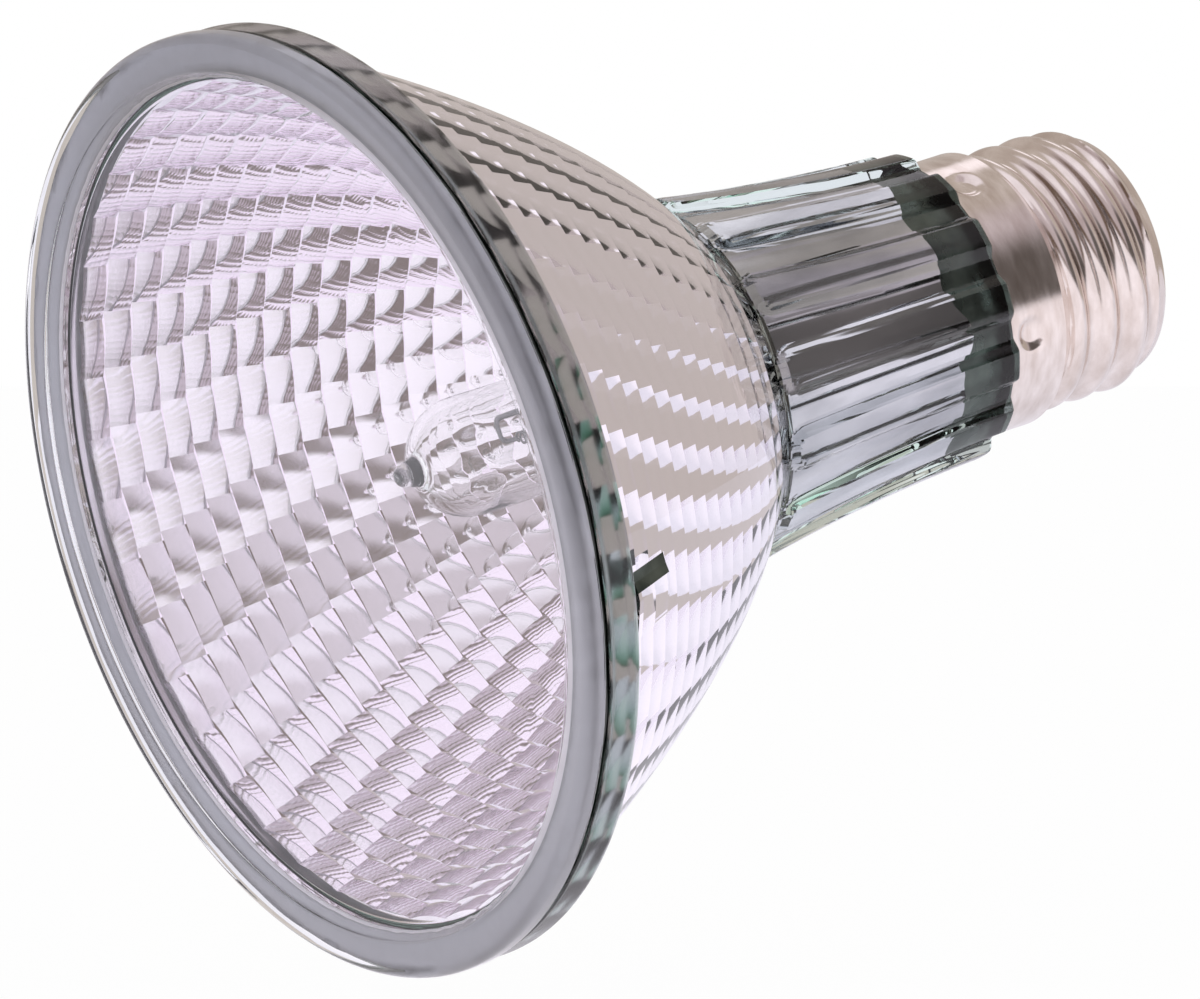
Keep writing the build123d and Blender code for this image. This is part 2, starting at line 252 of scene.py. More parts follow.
# grain drives a finish's colour and roughness, and a light bump where the finish has one
def addGrain(tree, shader, look, s):
    add, link = nodeMaker(tree), tree.links.new
    coord = add("ShaderNodeTexCoord")
    stretch = add("ShaderNodeMapping")
    stretch.inputs["Scale"].default_value = look.get("stretch", (1, 1, 1))
    grain = add("ShaderNodeGroup")
    grain.node_tree = grainGroup
    grain.inputs["Fine"].default_value = look["fine"]
    grain.inputs["Coarse"].default_value = look["coarse"]
    tone = add("ShaderNodeValToRGB")
    for stop, place, shade in zip(tone.color_ramp.elements, s["toneRange"], ("dark", "light")):
        stop.position, stop.color = place, (*look[shade], 1)
    rough = add("ShaderNodeMapRange")
    rough.inputs["From Min"].default_value, rough.inputs["From Max"].default_value = s["roughRange"]
    rough.inputs["To Min"].default_value, rough.inputs["To Max"].default_value = look["rough"]
    link(coord.outputs["Object"], stretch.inputs["Vector"])
    link(stretch.outputs[0], grain.inputs["Vector"])
    link(grain.outputs["Mask"], tone.inputs["Fac"])
    link(tone.outputs["Color"], shader.inputs["Base Color"])
    link(grain.outputs["Mask"], rough.inputs["Value"])
    link(rough.outputs["Result"], shader.inputs["Roughness"])
    if "bump" in look:
        bump = add("ShaderNodeBump")
        bump.inputs["Strength"].default_value = look["bump"]
        bump.inputs["Distance"].default_value = s["bumpDepth"]
        link(grain.outputs["Height"], bump.inputs["Height"])
        link(bump.outputs["Normal"], shader.inputs["Normal"])


# a finish is one Principled shader: clear glass and the bowl's coat are even, which keeps the many bounces
# between them quick, and all others have grain; on the neck's coat the grain is stretched into painted reflection
# streaks
def makeFinish(name, look):
    mat = bpy.data.materials.new(name)
    tree = emptyTree(mat)
    add, link = nodeMaker(tree), tree.links.new
    out = add("ShaderNodeOutputMaterial")
    shader = add("ShaderNodeBsdfPrincipled")
    shader.inputs["Metallic"].default_value = look.get("metal", 0.0)
    shader.inputs["Transmission Weight"].default_value = look.get("clear", 0.0)
    shader.inputs["IOR"].default_value = look.get("ior", 1.5)
    shader.inputs["Coat Weight"].default_value = look.get("coat", 0.0)
    link(shader.outputs[0], out.inputs["Surface"])
    if "even" in look:
        shader.inputs["Base Color"].default_value = (*look["even"], 1)
        shader.inputs["Roughness"].default_value = look["rough"]
    else:
        addGrain(tree, shader, look, grainSpec)
    if "soak" in look:  # light lost in thick glass
        soak = add("ShaderNodeVolumeAbsorption")
        soak.inputs["Color"].default_value = (*look["soak"], 1)
        soak.inputs["Density"].default_value = look["soakDensity"]
        link(soak.outputs[0], out.inputs["Volume"])
    return mat


finishes = dict(
    lensGlass=dict(even=(1, 1, 1), rough=0.0, clear=1.0, ior=1.47, soak=(0.72, 0.9, 0.82), soakDensity=30.0),
    bowlGlass=dict(even=(1, 1, 1), rough=0.0, clear=1.0, ior=1.47, soak=(0.72, 0.9, 0.82), soakDensity=30.0),
    mirrorCoat=dict(even=(0.965, 0.9, 0.975), rough=0.045, metal=1.0),
    # neck coat: its dark and light streaks along the axis are partly a patchy coat and partly painted reflection
    # streaks
    neckCoatPaintedStreaks=dict(dark=(0.28, 0.28, 0.31), light=(0.88, 0.86, 0.93), rough=(0.03, 0.1), fine=1500, coarse=130,
                  metal=1.0, stretch=(1, 1, 0.3)),
    edgeGlass=dict(even=(0.42, 0.49, 0.46), rough=0.26, clear=1.0, ior=1.47, soak=(0.8, 0.88, 0.84),
                   soakDensity=30.0),
    nickel=dict(dark=(0.66, 0.58, 0.53), light=(0.9, 0.83, 0.79), rough=(0.12, 0.23), bump=0.12, fine=2600,
                coarse=260, metal=1.0, stretch=(1, 1, 3)),
    sealCement=dict(dark=(0.5, 0.5, 0.545), light=(0.57, 0.57, 0.62), rough=(0.42, 0.55), fine=3000, coarse=300,
                    metal=1.0),
    # pale rough metal: painted light where light passes the rim, on the seal's inner strip and the reflector's
    # mouth wall
    rimPaintedLight=dict(dark=(0.88, 0.85, 0.91), light=(0.97, 0.94, 0.99), rough=(0.35, 0.5), fine=3000, coarse=300,
                 metal=1.0),
    flangeShade=dict(dark=(0.03, 0.045, 0.04), light=(0.14, 0.17, 0.15), rough=(0.2, 0.4), bump=0.3, fine=2000,
                     coarse=260, metal=1.0),
    sealEdge=dict(dark=(0.025, 0.03, 0.028), light=(0.08, 0.09, 0.085), rough=(0.3, 0.5), bump=0.4, fine=3000,
                  coarse=500),
    quartz=dict(even=(1, 1, 1), rough=0.0, clear=1.0, ior=1.46),
    tungsten=dict(dark=(0.2, 0.2, 0.21), light=(0.4, 0.4, 0.41), rough=(0.3, 0.5), bump=0.2, fine=5000,
                  coarse=900, metal=1.0),
    foil=dict(dark=(0.5, 0.5, 0.52), light=(0.66, 0.66, 0.68), rough=(0.2, 0.4), bump=0.3, fine=3000,
              coarse=600, metal=1.0),
    leadWire=dict(dark=(0.52, 0.5, 0.47), light=(0.7, 0.68, 0.65), rough=(0.2, 0.4), bump=0.2, fine=4000,
                  coarse=700, metal=1.0),
    springSteel=dict(dark=(0.42, 0.42, 0.43), light=(0.62, 0.62, 0.63), rough=(0.15, 0.35), bump=0.2, fine=3000,
                     coarse=300, metal=1.0),
    blackGlass=dict(dark=(0.008, 0.008, 0.01), light=(0.03, 0.03, 0.034), rough=(0.06, 0.2), bump=0.15, fine=1600,
                    coarse=220, coat=0.4),
    brass=dict(dark=(0.58, 0.42, 0.2), light=(0.82, 0.66, 0.36), rough=(0.18, 0.36), bump=0.2, fine=2600,
               coarse=300, metal=1.0),
    solder=dict(dark=(0.5, 0.5, 0.51), light=(0.72, 0.72, 0.73), rough=(0.22, 0.45), bump=0.5, fine=1500,
                coarse=350, metal=1.0),
)
finish = {name: makeFinish(name, look) for name, look in finishes.items()}
print("finishes:", len(finish))


# front lens
lensSpec = dict(
    rim=47.5, edge=1.1, window=43.6, draft=0.4, recess=1.4, spigot=42.9, columns=360, sharp=40,
    backCorner=0.5, seatCorner=0.3, lip=0.35, floorCorner=0.4, backHub=6.0, floorHub=4.0,
    ripple=0.0022, rippleWaves=(30, 110), rippleSeed=4, sway=0.0012, swayWaves=(3, 9), swaySeed=5, spread=0.5,
)


# outline of the pressed lens, turned round the axis; the recess edge wanders a little, as pressed glass does
def makeLens(s):
    top, back, seat = levels["front"], levels["lensBack"], levels["sealTop"]
    rim, edge, window, spigot, lip = s["rim"], s["edge"], s["window"], s["spigot"], s["lip"]
    backCorner, seatCorner, floorCorner = s["backCorner"], s["seatCorner"], s["floorCorner"]
    floor = top - s["recess"]
    inner = window - s["draft"]
    outline = np.concatenate([
        run((s["backHub"], back), (spigot - backCorner, back), 5),
        bend((spigot - backCorner, back + backCorner), backCorner, -90, 0, 5),
        run((spigot, back + backCorner), (spigot, seat), 3),
        run((spigot, seat), (rim - seatCorner, seat), 4),
        bend((rim - seatCorner, seat + seatCorner), seatCorner, -90, 0, 4),
        run((rim, seat + seatCorner), (rim, top - edge), 3),
        bend((rim - edge, top - edge), edge, 0, 90, 10),
        run((rim - edge, top), (window + lip, top), 5),
        bend((window + lip, top - lip), lip, 90, 180, 6),
        run((window, top - lip), (inner, floor + floorCorner), 3),
        bend((inner - floorCorner, floor + floorCorner), floorCorner, 0, -90, 6),
        run((inner - floorCorner, floor), (s["floorHub"], floor), 7),
    ])
    pts = turnOutline(outline, s["columns"])
    a = ringAngles(s["columns"])
    near = np.exp(-((outline[:, 0] - inner) ** 2 + (outline[:, 1] - floor) ** 2) / s["spread"])[:, None]
    ripple = s["ripple"] * wander(a, s["rippleWaves"], s["rippleSeed"])
    sway = s["sway"] * wander(a, s["swayWaves"], s["swaySeed"])
    pts[:, :, :2] *= (1 + near * (ripple + sway))[:, :, None]
    grid = dict(points=pts, start=(0, 0, back), end=(0, 0, floor))
    makePiece("frontLens", [grid], s["sharp"], [finish["lensGlass"]], "front_lens")


makeLens(lensSpec)

# lens seal
sealSpec = dict(
    inside=42.95, paleTo=43.7, outside=47.0, bite=0.03, bead=0.33, footStop=0.15, columns=240, sharp=40,
    sway=0.003, swayWaves=(5, 40), swaySeed=8,
)


# cement with a dark bead outside; no cement is seen at the window's edge, so its inner strip is painted pale,
# standing in for the light that comes through there
def makeSeal(s):
    low, high = levels["flangeTop"] - s["bite"], levels["sealTop"] + s["bite"]  # wets the glass on both sides
    inside, paleTo, beadR = s["inside"], s["paleTo"], s["outside"] - s["bead"]
    foot = run((inside, low), (s["outside"] - s["footStop"], low), 3)
    bead = bend((beadR, (low + high) / 2), s["bead"], -90, 90, 8)
    cement = run((beadR, high), (paleTo, high), 3)
    pale = np.concatenate([run((paleTo, high), (inside, high), 2), run((inside, high), (inside, low), 2)])
    pts = turnOutline(np.concatenate([foot, bead, cement, pale]), s["columns"])
    beadAt, cementAt = len(foot), len(foot) + len(bead)
    sway = 1 + wander(ringAngles(s["columns"]), s["swayWaves"], s["swaySeed"])
    pts[beadAt:cementAt, :, :2] *= (1 - s["sway"] * sway)[None, :, None]
    kinds = ("sealCement", "sealEdge", "rimPaintedLight")
    mat = np.full(len(pts), kinds.index("sealCement"))
    mat[beadAt : cementAt - 1] = kinds.index("sealEdge")
    # painted light: the inner strip is pale where light comes through the uncemented edge
    mat[-len(pale) :] = kinds.index("rimPaintedLight")
    makePiece("lensSeal", [dict(points=pts, wrap=True, mat=mat)], s["sharp"], [finish[n] for n in kinds],
              "lens_seal")


makeSeal(sealSpec)

# reflector
reflectorSpec = dict(
    flange=47.2, flangeRound=1.2, flangeEdge=0.3, flangeFoot=0.2, flangeTopRows=4, mouth=43.2, mouthGap=0.02,
    bowlMouth=44.6, bowlRows=20, shoulder=20.3, shoulderDrop=3.0, shoulderRows=8, wall=2.9, ledge=0.2,
    neckTop=18.9, neckBottom=15.7, neckHollow=0.5, neckRound=0.5, neckRows=46, neckCrowd=1.3, tail=13.3,
    facets=42, rings=17, ringTurn=-1.33, startAngle=-90.5, bulge=0.25, ringBulge=0.1, perFacet=8, perRing=4,
    throat=13.0, throatDrop=3.0, throatShare=0.985, bore=11.0, sharp=10,
    coatEnd=29.0, coatSway=1.0, coatWaves=(3, 14), coatSeed=11,
    ribs=14, ribWidth=3.8, ribHeight=0.9, ribRound=1.6, ribSoft=1.3, ribStart=-96.0, ribCrowd=0.6, ribOver=0.6,
    markAngle=-117.0, markDrop=4.4, markLength=6.6, markWidth=4.4, markSlope=2.4, markHeight=0.9, markFoot=0.2,
    markFall=1.5, markSoft=0.25, markThin=0.03, markSlant=1.12, markReach=4.0, markRows=42,
    markCrowd=20.0, markPull=0.7, crowdStart=4.0, crowdLength=14.0,
)


# outside of the bowl: r squared grows evenly with height, a paraboloid
def bowlGrowth(s):
    return (s["bowlMouth"] ** 2 - s["shoulder"] ** 2) / (levels["flangeBottom"] - levels["shoulder"])


def bowlRadius(s, z):
    return np.sqrt(s["shoulder"] ** 2 + bowlGrowth(s) * (z - levels["shoulder"]))


# mirror facets: each ring runs straight between two radii, and every facet is a cushion
# r = ring radius - bulge h / 2 (1 - t^2) - ringBulge d / 4 (1 - w^2), with t across the facet and w down the ring,
# both from -1 to 1, h half the facet's width and d the ring's height
def facetGrid(s):
    columns = s["facets"] * s["perFacet"]
    k = np.arange(s["rings"])[:, None, None]
    v = np.linspace(0, 1, s["perRing"] + 1)[None, :, None]
    c = np.arange(columns)[None, None, :]
    height = (levels["facetTop"] - levels["throatTop"]) / s["rings"]
    topZ = levels["facetTop"] - k * height
    topR = bowlRadius(s, topZ) - s["wall"] - s["ledge"]
    lowR = bowlRadius(s, topZ - height) - s["wall"]
    ring = topR + (lowR - topR) * v
    t = (c % s["perFacet"]) / s["perFacet"] * 2 - 1
    half = ring * np.pi / s["facets"]
    w = 2 * v - 1
    r = ring - s["bulge"] * half / 2 * (1 - t**2) - s["ringBulge"] * height / 4 * (1 - w**2)
    a = np.radians(s["startAngle"] + k * s["ringTurn"] + c * 360 / columns + 0 * v)
    return ringPoints(r, a, topZ - height * v).reshape(-1, columns, 3), a[-1, -1]


# ribs: a rounded bar's distance field on the unrolled neck, as a height over the neck's base
def ribRise(s, r, a, z, ribTop):
    period = 2 * np.pi / s["ribs"]
    off = (a - np.radians(s["ribStart"]) + period / 2) % period - period / 2
    x = np.abs(off) * r - (s["ribWidth"] / 2 - s["ribRound"])
    y = z - (ribTop - s["ribRound"])
    d = np.hypot(np.maximum(x, 0), np.maximum(y, 0)) + np.minimum(np.maximum(x, y), 0) - s["ribRound"]
    return s["ribHeight"] * smoothStep(0.5 - d / s["ribSoft"])


# wedge mark: rises evenly across its width, falls in a steep slope, and ends square along the bowl
def markRise(s, across, along):
    w, h = s["markWidth"] / 2, s["markHeight"]
    pad = h * (s["markFoot"] + (1 - s["markFoot"]) * (across + w) / (2 * w))
    fall = h - s["markFall"] * h * (across - w) / s["markSlope"]
    side = smoothStep((across + w) / s["markSoft"] + 0.5)
    ends = smoothStep((s["markLength"] / 2 - np.abs(along)) / s["markSoft"] + 0.5)
    return np.maximum(np.minimum(pad, fall), 0) * side * ends


# outline of the outside: tail, neck, shoulder and bowl, and then the flange round to the mouth
def outsideOutline(s):
    shoulderZ, neckZ = levels["shoulder"], levels["neckBottom"]
    neckTopZ = shoulderZ - s["shoulderDrop"]
    base, foot = s["neckTop"] - s["ribHeight"], s["neckBottom"] - s["ribHeight"]
    # neck: straight between its ends, hollowed by 4 h q (1 - q)
    q = 1 - (1 - np.linspace(0, 1, s["neckRows"])) ** s["neckCrowd"]
    roundR, roundZ = foot - s["neckRound"], neckZ + s["neckRound"]
    neckR = foot + (base - foot) * q - 4 * s["neckHollow"] * q * (1 - q)
    neck = np.stack([neckR, roundZ + (neckTopZ - roundZ) * q], axis=1)
    tail = np.concatenate([
        run((s["tail"], levels["tailBottom"]), (s["tail"], neckZ), 5),
        run((s["tail"], neckZ), (roundR, neckZ), 3),
        bend((roundR, roundZ), s["neckRound"], -90, 0, 5),
    ])
    # shoulder: a curve of three poles from the neck to the bowl's end tangent
    slope = bowlGrowth(s) / (2 * s["shoulder"])
    corner = np.array([base, shoulderZ - (s["shoulder"] - base) / slope])
    start, crown = np.array([base, neckTopZ]), np.array([s["shoulder"], shoulderZ])
    w = np.linspace(0, 1, s["shoulderRows"] + 1)[1:, None]
    shoulder = (1 - w) ** 2 * start + 2 * w * (1 - w) * corner + w**2 * crown
    # bowl, with close rows at the mark
    fr, fz, topZ = s["flange"], levels["flangeBottom"], levels["flangeTop"]
    markLow, markHigh = fz - s["markDrop"] - s["markReach"], fz - s["markDrop"] + s["markReach"]
    bowlZ = np.concatenate([
        np.linspace(shoulderZ, markLow, s["bowlRows"])[1:],
        np.linspace(markLow, markHigh, s["markRows"])[1:], [fz],
    ])
    bowl = np.stack([bowlRadius(s, bowlZ), bowlZ], axis=1)
    fold, edge = s["flangeRound"], s["flangeEdge"]
    flange = np.concatenate([
        run((s["bowlMouth"] + s["flangeFoot"], fz), (fr - fold, fz), 2),
        bend((fr - fold, fz + fold), fold, -90, 0, 7),
        run((fr, fz + fold), (fr, topZ - edge), 3),
        bend((fr - edge, topZ - edge), edge, 0, 90, 4),
        run((fr - edge, topZ), (s["mouth"], topZ), 3),
    ])
    return np.concatenate([tail, neck, shoulder, bowl]), flange


# outside rings with ribs and mark, the mark's steep side, and the angle of the first column
def outsideRings(s, outline, columns):
    r, z = outline[:, :1], outline[:, 1:]
    shoulderZ, flangeZ = levels["shoulder"], levels["flangeBottom"]
    # columns crowd at the ribs' edges: u + c sin(4 pi u) / 4 pi, with u counted in ribs
    u = np.arange(columns) / (columns // s["ribs"])
    u = u + s["ribCrowd"] * np.sin(4 * np.pi * u) / (4 * np.pi)
    a = np.radians(s["ribStart"] + u * 360 / s["ribs"])
    ribs = ribRise(s, r, a[None], z, shoulderZ - s["shoulderDrop"] + s["ribOver"])
    onNeck = (z > levels["neckBottom"] - hair) & (z < shoulderZ) & (r > s["tail"] + hair)
    # on the bowl they crowd at the mark: x (1 - p + p x^2 / c^2) within c degrees of it
    off = (np.degrees(a)[None] - s["markAngle"] + 180) % 360 - 180
    pull = np.where(np.abs(off) < s["markCrowd"], s["markPull"] * off * ((off / s["markCrowd"]) ** 2 - 1), 0)
    fade = smoothStep((z - shoulderZ - s["crowdStart"]) / s["crowdLength"])
    aBowl = a + np.radians(pull) * fade * (z < flangeZ + hair)
    across = ((aBowl - np.radians(s["markAngle"]) + np.pi) % (2 * np.pi) - np.pi) * r
    along = (z - flangeZ + s["markDrop"]) * s["markSlant"]
    mark = markRise(s, across, along) * (z > shoulderZ) * (z < flangeZ - hair)
    steep = (mark > s["markThin"] * s["markHeight"]) & (across > s["markWidth"] / 2)
    return ringPoints(r + ribs * onNeck + mark, aBowl, z), steep, a[0]


def makeReflector(s):
    facets, lastAngle = facetGrid(s)
    columns = facets.shape[1]
    body, flange = outsideOutline(s)
    outer, steep, outerStart = outsideRings(s, np.concatenate([body, flange]), columns)
    # mouth above the facets, then throat and bore below them, on the facets' own columns
    firstAngle = np.radians(s["startAngle"] + np.arange(columns) * 360 / columns)
    mouthR = np.full((2, 1), s["mouth"])
    mouth = ringPoints(mouthR, firstAngle, np.array([[levels["flangeTop"] - s["mouthGap"]], [levels["facetTop"]]]))
    throatZ, boreEnd, coatEnd = levels["throatTop"], levels["tailBottom"], s["coatEnd"]
    throatR = (bowlRadius(s, throatZ) - s["wall"]) * s["throatShare"] - s["ledge"]
    boreZ = throatZ - s["throatDrop"]
    coatR = s["bore"] + (s["throat"] - s["bore"]) * (coatEnd - boreEnd) / (boreZ - boreEnd)
    coated = np.concatenate([
        run((throatR, throatZ), (s["throat"], boreZ), 3), run((s["throat"], boreZ), (coatR, coatEnd), 10),
    ])
    bare = np.concatenate([run((coatR, coatEnd), (s["bore"], boreEnd), 4), [[s["bore"], boreEnd]]])
    inside = np.concatenate([coated, bare])
    z = inside[:, 1:] + 0 * lastAngle
    z[len(coated)] += s["coatSway"] * wander(lastAngle, s["coatWaves"], s["coatSeed"])  # ragged end of the coat
    inner = np.concatenate([mouth, facets, ringPoints(inside[:, :1], lastAngle, z)])
    # the inner columns are renumbered to meet the outer ones with little skew
    shift = int(round((outerStart - lastAngle[0]) / (2 * np.pi / columns)))
    pts = np.concatenate([outer, np.roll(inner, -shift, axis=1)])
    kinds = ("bowlGlass", "mirrorCoat", "neckCoatPaintedStreaks", "flangeShade", "edgeGlass", "rimPaintedLight")
    flangeAt, mouthAt = len(body), len(outer)
    topAt, facetsAt = mouthAt - s["flangeTopRows"], mouthAt + len(mouth)
    throatAt = facetsAt + len(facets)
    bareAt = throatAt + len(coated)
    mat = np.full(pts.shape[:2], kinds.index("bowlGlass"))
    # painted shade: the mark's steep side is painted dark for the dark it shows
    mat[:mouthAt][steep] = kinds.index("flangeShade")
    mat[flangeAt:topAt] = kinds.index("edgeGlass")  # thick glass at the flange
    mat[topAt:mouthAt] = kinds.index("flangeShade")  # flange top, under the seal
    # the mouth wall is painted pale: painted light for the bright ring inside the rim
    mat[mouthAt : facetsAt - 1] = kinds.index("rimPaintedLight")
    mat[facetsAt - 1 : throatAt] = kinds.index("mirrorCoat")
    # neck's bore: coat with painted reflection streaks from its stretched grain
    mat[throatAt:bareAt] = kinds.index("neckCoatPaintedStreaks")
    mat[bareAt:] = kinds.index("flangeShade")  # dark cement and painted shade behind the bare end of the bore
    makePiece("reflectorGlass", [dict(points=pts, wrap=True, mat=mat)], s["sharp"], [finish[n] for n in kinds],
              "reflector")


makeReflector(reflectorSpec)

# cap shell
capSpec = dict(
    sheet=0.35, skirt=13.9, crest=13.2, depth=1.095, pitch=3.629, crestLevel=15.7, curl=1.2, curlReach=1.0,
    hole=9.6, runOut=0.8, soft=0.08, lipDrop=0.12, threadRows=104, skirtRows=40, columns=216, sharp=35,
    dents=5, dentRadius=1.9, dentWall=0.9, dentDepth=0.5, dentDrop=2.6, dentAngle=-114.0,
)


# rolled knuckle thread: equal round crests and roots, wound one pitch for each turn
def knuckle(s, a, z):
    half = s["pitch"] / 2
    rad = (s["depth"] ** 2 + half**2) / (4 * s["depth"])
    root = s["crest"] - s["depth"]
    d = np.abs((z - s["crestLevel"] - s["pitch"] * a / (2 * np.pi) + half) % s["pitch"] - half)
    top = s["crest"] - rad + np.sqrt(np.maximum(rad**2 - d**2, 0))
    low = root + rad - np.sqrt(np.maximum(rad**2 - (half - d) ** 2, 0))
    return np.where(d < half / 2, top, low)


def makeCap(s):
    a = ringAngles(s["columns"])[None]
    root, soft, sheet = s["crest"] - s["depth"], s["soft"], s["sheet"]
    end, low, high = levels["shellEnd"], levels["threadBottom"], levels["skirtBottom"]
    # thread: the soft least of the knuckles and their run-out, then the soft most of that and the skirt's flare
    # soft least of p and q = -s log(exp(-p / s) + exp(-q / s)), soft most the same without the signs
    zt = np.linspace(low, high, s["threadRows"])[:, None]
    fade = root + (zt - low) * s["runOut"]
    cone = root + (zt - levels["threadTop"]) * (s["skirt"] - root) / (high - levels["threadTop"])
    thread = -soft * np.log(np.exp(-knuckle(s, a, zt) / soft) + np.exp(-fade / soft))
    thread = soft * np.log(np.exp(thread / soft) + np.exp(np.minimum(cone, s["skirt"]) / soft))
    thread = np.minimum(thread, s["skirt"])
    curl = np.concatenate([
        run((s["hole"], end), (root - s["curl"], end), 2),
        bend((root - s["curl"], low), s["curl"], -90, 0, 8),
    ])
    # skirt with round dents, and a rounded lip
    lipZ = levels["skirtTop"] - s["lipDrop"]
    skirtZ = np.linspace(high, lipZ, s["skirtRows"])[1:, None]
    turns = np.radians(s["dentAngle"] + 360 / s["dents"] * np.arange(s["dents"]))
    off = (a[..., None] - turns + np.pi) % (2 * np.pi) - np.pi
    d2 = ((off * s["skirt"]) ** 2).min(axis=-1) + (skirtZ - (levels["skirtTop"] - s["dentDrop"])) ** 2
    skirtR = s["skirt"] - s["dentDepth"] * smoothStep((s["dentRadius"] - np.sqrt(d2)) / s["dentWall"])
    lip = bend((s["skirt"] - sheet / 2, lipZ), sheet / 2, 0, 180, 6)
    spread = 0 * a
    outR = np.concatenate([curl[:, :1] + spread, thread, skirtR, lip[:, :1] + spread])
    outZ = np.concatenate([curl[:, 1:], zt, skirtZ, lip[:, 1:]]) + spread
    # inner face: every other ring, one sheet further in
    body = len(curl) + len(zt) + len(skirtZ)
    inR, inZ = outR[:body][::-2] - sheet, outZ[:body][::-2]
    inZ = np.where(inZ < end + s["curlReach"], np.maximum(inZ, end + sheet), inZ)
    inR[-1] = s["hole"]
    pts = ringPoints(np.concatenate([outR, inR]), a, np.concatenate([outZ, inZ]))
    makePiece("capShell", [dict(points=pts, wrap=True)], s["sharp"], [finish["nickel"]], "cap_shell")


makeCap(capSpec)

# cap end
endSpec = dict(
    bore=1.5, nose=5.8, noseInset=0.05, waist=9.55, seat=10.9, seatRise=0.35, depth=3.2, corner=0.4, bevel=0.2,
    contact=4.9, contactLow=0.5, contactTop=1.1, contactCorner=0.25, hole=0.9, columns=160, sharp=40,
    solder=2.8, solderSharp=50, domeStart=0.15, domePower=2.2, domeRows=9,
    swayFrom=4, sway=0.05, swayWaves=(2, 6), swaySeed=21,
)


def makeCapEnd(s):
    low, top, end = s["contactLow"], s["contactTop"], levels["shellEnd"]
    bore, nose, waist, seat, corner, bevel = (s[k] for k in ("bore", "nose", "waist", "seat", "corner", "bevel"))
    seatZ, back = end + s["seatRise"], end + s["depth"]
    insulator = np.concatenate([
        run((bore, top), (nose - corner, top), 3),
        bend((nose - corner, top + corner), corner, -90, -30, 4),
        run((nose - s["noseInset"], top + bevel), (waist - corner, end - bevel), 6),
        bend((waist - corner, end + bevel), corner, -30, 0, 3),
        run((waist, end + bevel), (waist, seatZ), 1),
        run((waist, seatZ), (seat, seatZ), 2),
        run((seat, seatZ), (seat, back), 3),
        run((seat, back), (bore, back), 4),
        run((bore, back), (bore, top), 3),
    ])
    makePiece("capInsulator", [dict(points=turnOutline(insulator, s["columns"]), wrap=True)], s["sharp"],
              [finish["blackGlass"]], "cap_insulator")
    hole, plate, fold = s["hole"], s["contact"], s["contactCorner"]
    contact = np.concatenate([
        run((hole, low), (plate - fold, low), 4),
        bend((plate - fold, low + fold), fold, -90, 0, 4),
        run((plate, low + fold), (plate, top), 2),
        run((plate, top), (hole, top), 3),
        run((hole, top), (hole, low), 2),
    ])
    makePiece("centreContact", [dict(points=turnOutline(contact, s["columns"]), wrap=True)], s["sharp"],
              [finish["brass"]], "centre_contact")
    # solder: a low ball cap with an uneven skirt
    x = np.linspace(s["domeStart"], 1, s["domeRows"])
    dome = np.stack([s["solder"] * x, low * x ** s["domePower"]], axis=1)
    pts = turnOutline(np.concatenate([dome, [[hole, low], [hole, top]]]), s["columns"])
    sway = wander(ringAngles(s["columns"]), s["swayWaves"], s["swaySeed"])
    pts[s["swayFrom"] : len(dome), :, :2] *= (1 - s["sway"] + s["sway"] * sway)[None, :, None]
    makePiece("contactSolder", [dict(points=pts, start=(0, 0, 0), end=(0, 0, top))], s["solderSharp"],
              [finish["solder"]], "contact_solder")


makeCapEnd(endSpec)

# capsule
capsuleSpec = dict(
    radius=6.0, wall=0.9, domeEnd=72.0, domeRows=12, columns=96, sharp=50,
    tip=1.5, tipHeight=2.5, tipTaper=0.8, tipRound=1.2, tipFlare=0.1, tipSink=0.05, tipEnd=80.0,
    pinchWidth=11.4, pinchThick=3.4, pinchPower=7, tubePower=2, pinchRows=22, edgeBite=0.06, edgeFade=0.4,
    blendDrop=2.0, blendLength=4.5, blendEnd=2.5, tubeStart=3.5,
    gasStop=85.0,  # degrees where the rows of the gas space stop short of its poles
    gasGap=1.0, gasEnd=3.0, gasRound=2.2, gasRoundAt=2.6, gasFoot=0.4,
    swell=0.016, twist=0.55, twistWaves=(2, 7), twistSeed=31, counter=0.9, counterWaves=(1, 4), counterSeed=32,
)


# tube that flattens into the pinch: |x/a|^n + |y/b|^n = 1, with n from 2 at the tube to 7 at the pinch
def ovalRings(a, b, n, z, columns):
    t = ringAngles(columns)[None]
    c, k = np.cos(t), np.sin(t)
    a, b, n, z = a[:, None], b[:, None], n[:, None], z[:, None]
    rho = (np.abs(c) ** n + np.abs(k) ** n) ** (-1 / n)
    return np.stack([a * rho * c, b * rho * k, z + 0 * t], axis=2)


